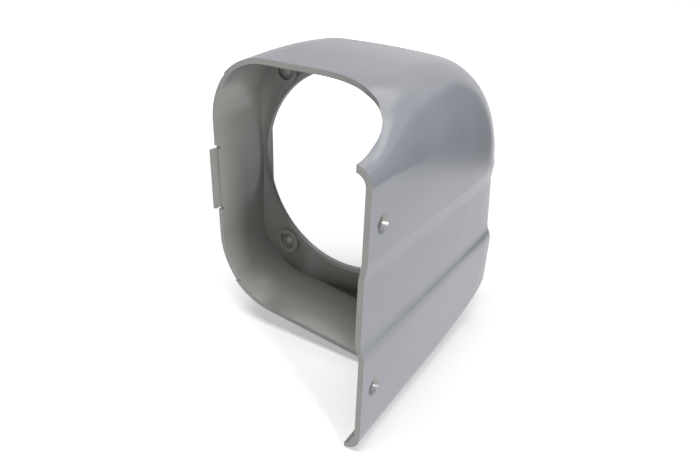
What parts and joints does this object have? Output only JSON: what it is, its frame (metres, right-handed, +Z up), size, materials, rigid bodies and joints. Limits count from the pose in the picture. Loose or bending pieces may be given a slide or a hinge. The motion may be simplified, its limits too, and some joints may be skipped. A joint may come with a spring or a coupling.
{
  "type": "lamp housing",
  "caption": "Open-backed moulded housing with a round lamp opening in front, a raked lip and one long side panel with countersunk screw holes.",
  "frame": {"origin": "centre of the lamp opening, in the front plane of its bore", "axes": "-Y forward along the lamp axis, +Y out of the open back, +Z up, the long side panel on -X"},
  "size_m": [0.1299, 0.147, 0.1611],
  "materials": {
    "shell": "satin moulded grey"
  },
  "bodies": {
    "root": {"housing": "shell"}
  },
  "joints": []
}
